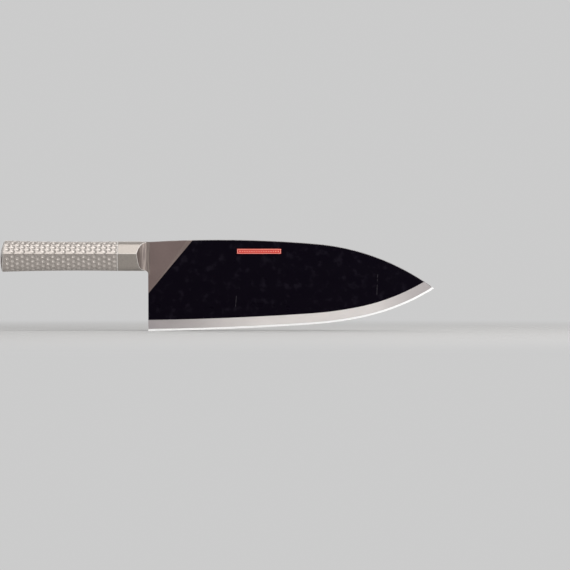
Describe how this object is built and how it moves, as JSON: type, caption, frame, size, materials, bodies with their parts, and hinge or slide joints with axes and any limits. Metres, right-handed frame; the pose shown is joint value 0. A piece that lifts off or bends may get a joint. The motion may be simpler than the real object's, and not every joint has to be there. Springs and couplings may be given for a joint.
{
  "type": "deba knife",
  "caption": "Heavy single-bevel fish knife: a thick pointed blade with a dark face and a ground bevel, on a hollow dimpled steel handle with a ridged side.",
  "frame": {"origin": "under the middle of the knife's whole length and width, level with the foot of the heel", "axes": "+X from the butt to the tip, +Z from the edge to the spine, -Y out of the bevelled front face and +Y out of the flat back"},
  "size_m": [0.364, 0.0234, 0.0766],
  "materials": {
    "edge_steel": "ground hard steel, bright edge and lengthwise-scratched hollow back",
    "dark_face": "smooth near-black face, satin cheek and ground grey bevel",
    "satin_steel": "satin",
    "dimpled_steel": "pressed dimples, soft satin",
    "cap_steel": "satin",
    "red_label": "plain red label"
  },
  "bodies": {
    "root": {"blade_core": "edge_steel", "blade_cladding": "dark_face", "bolster": "satin_steel", "handle_shell_front": "dimpled_steel", "handle_shell_back": "dimpled_steel", "butt_cap": "cap_steel", "label": "red_label"}
  },
  "joints": []
}
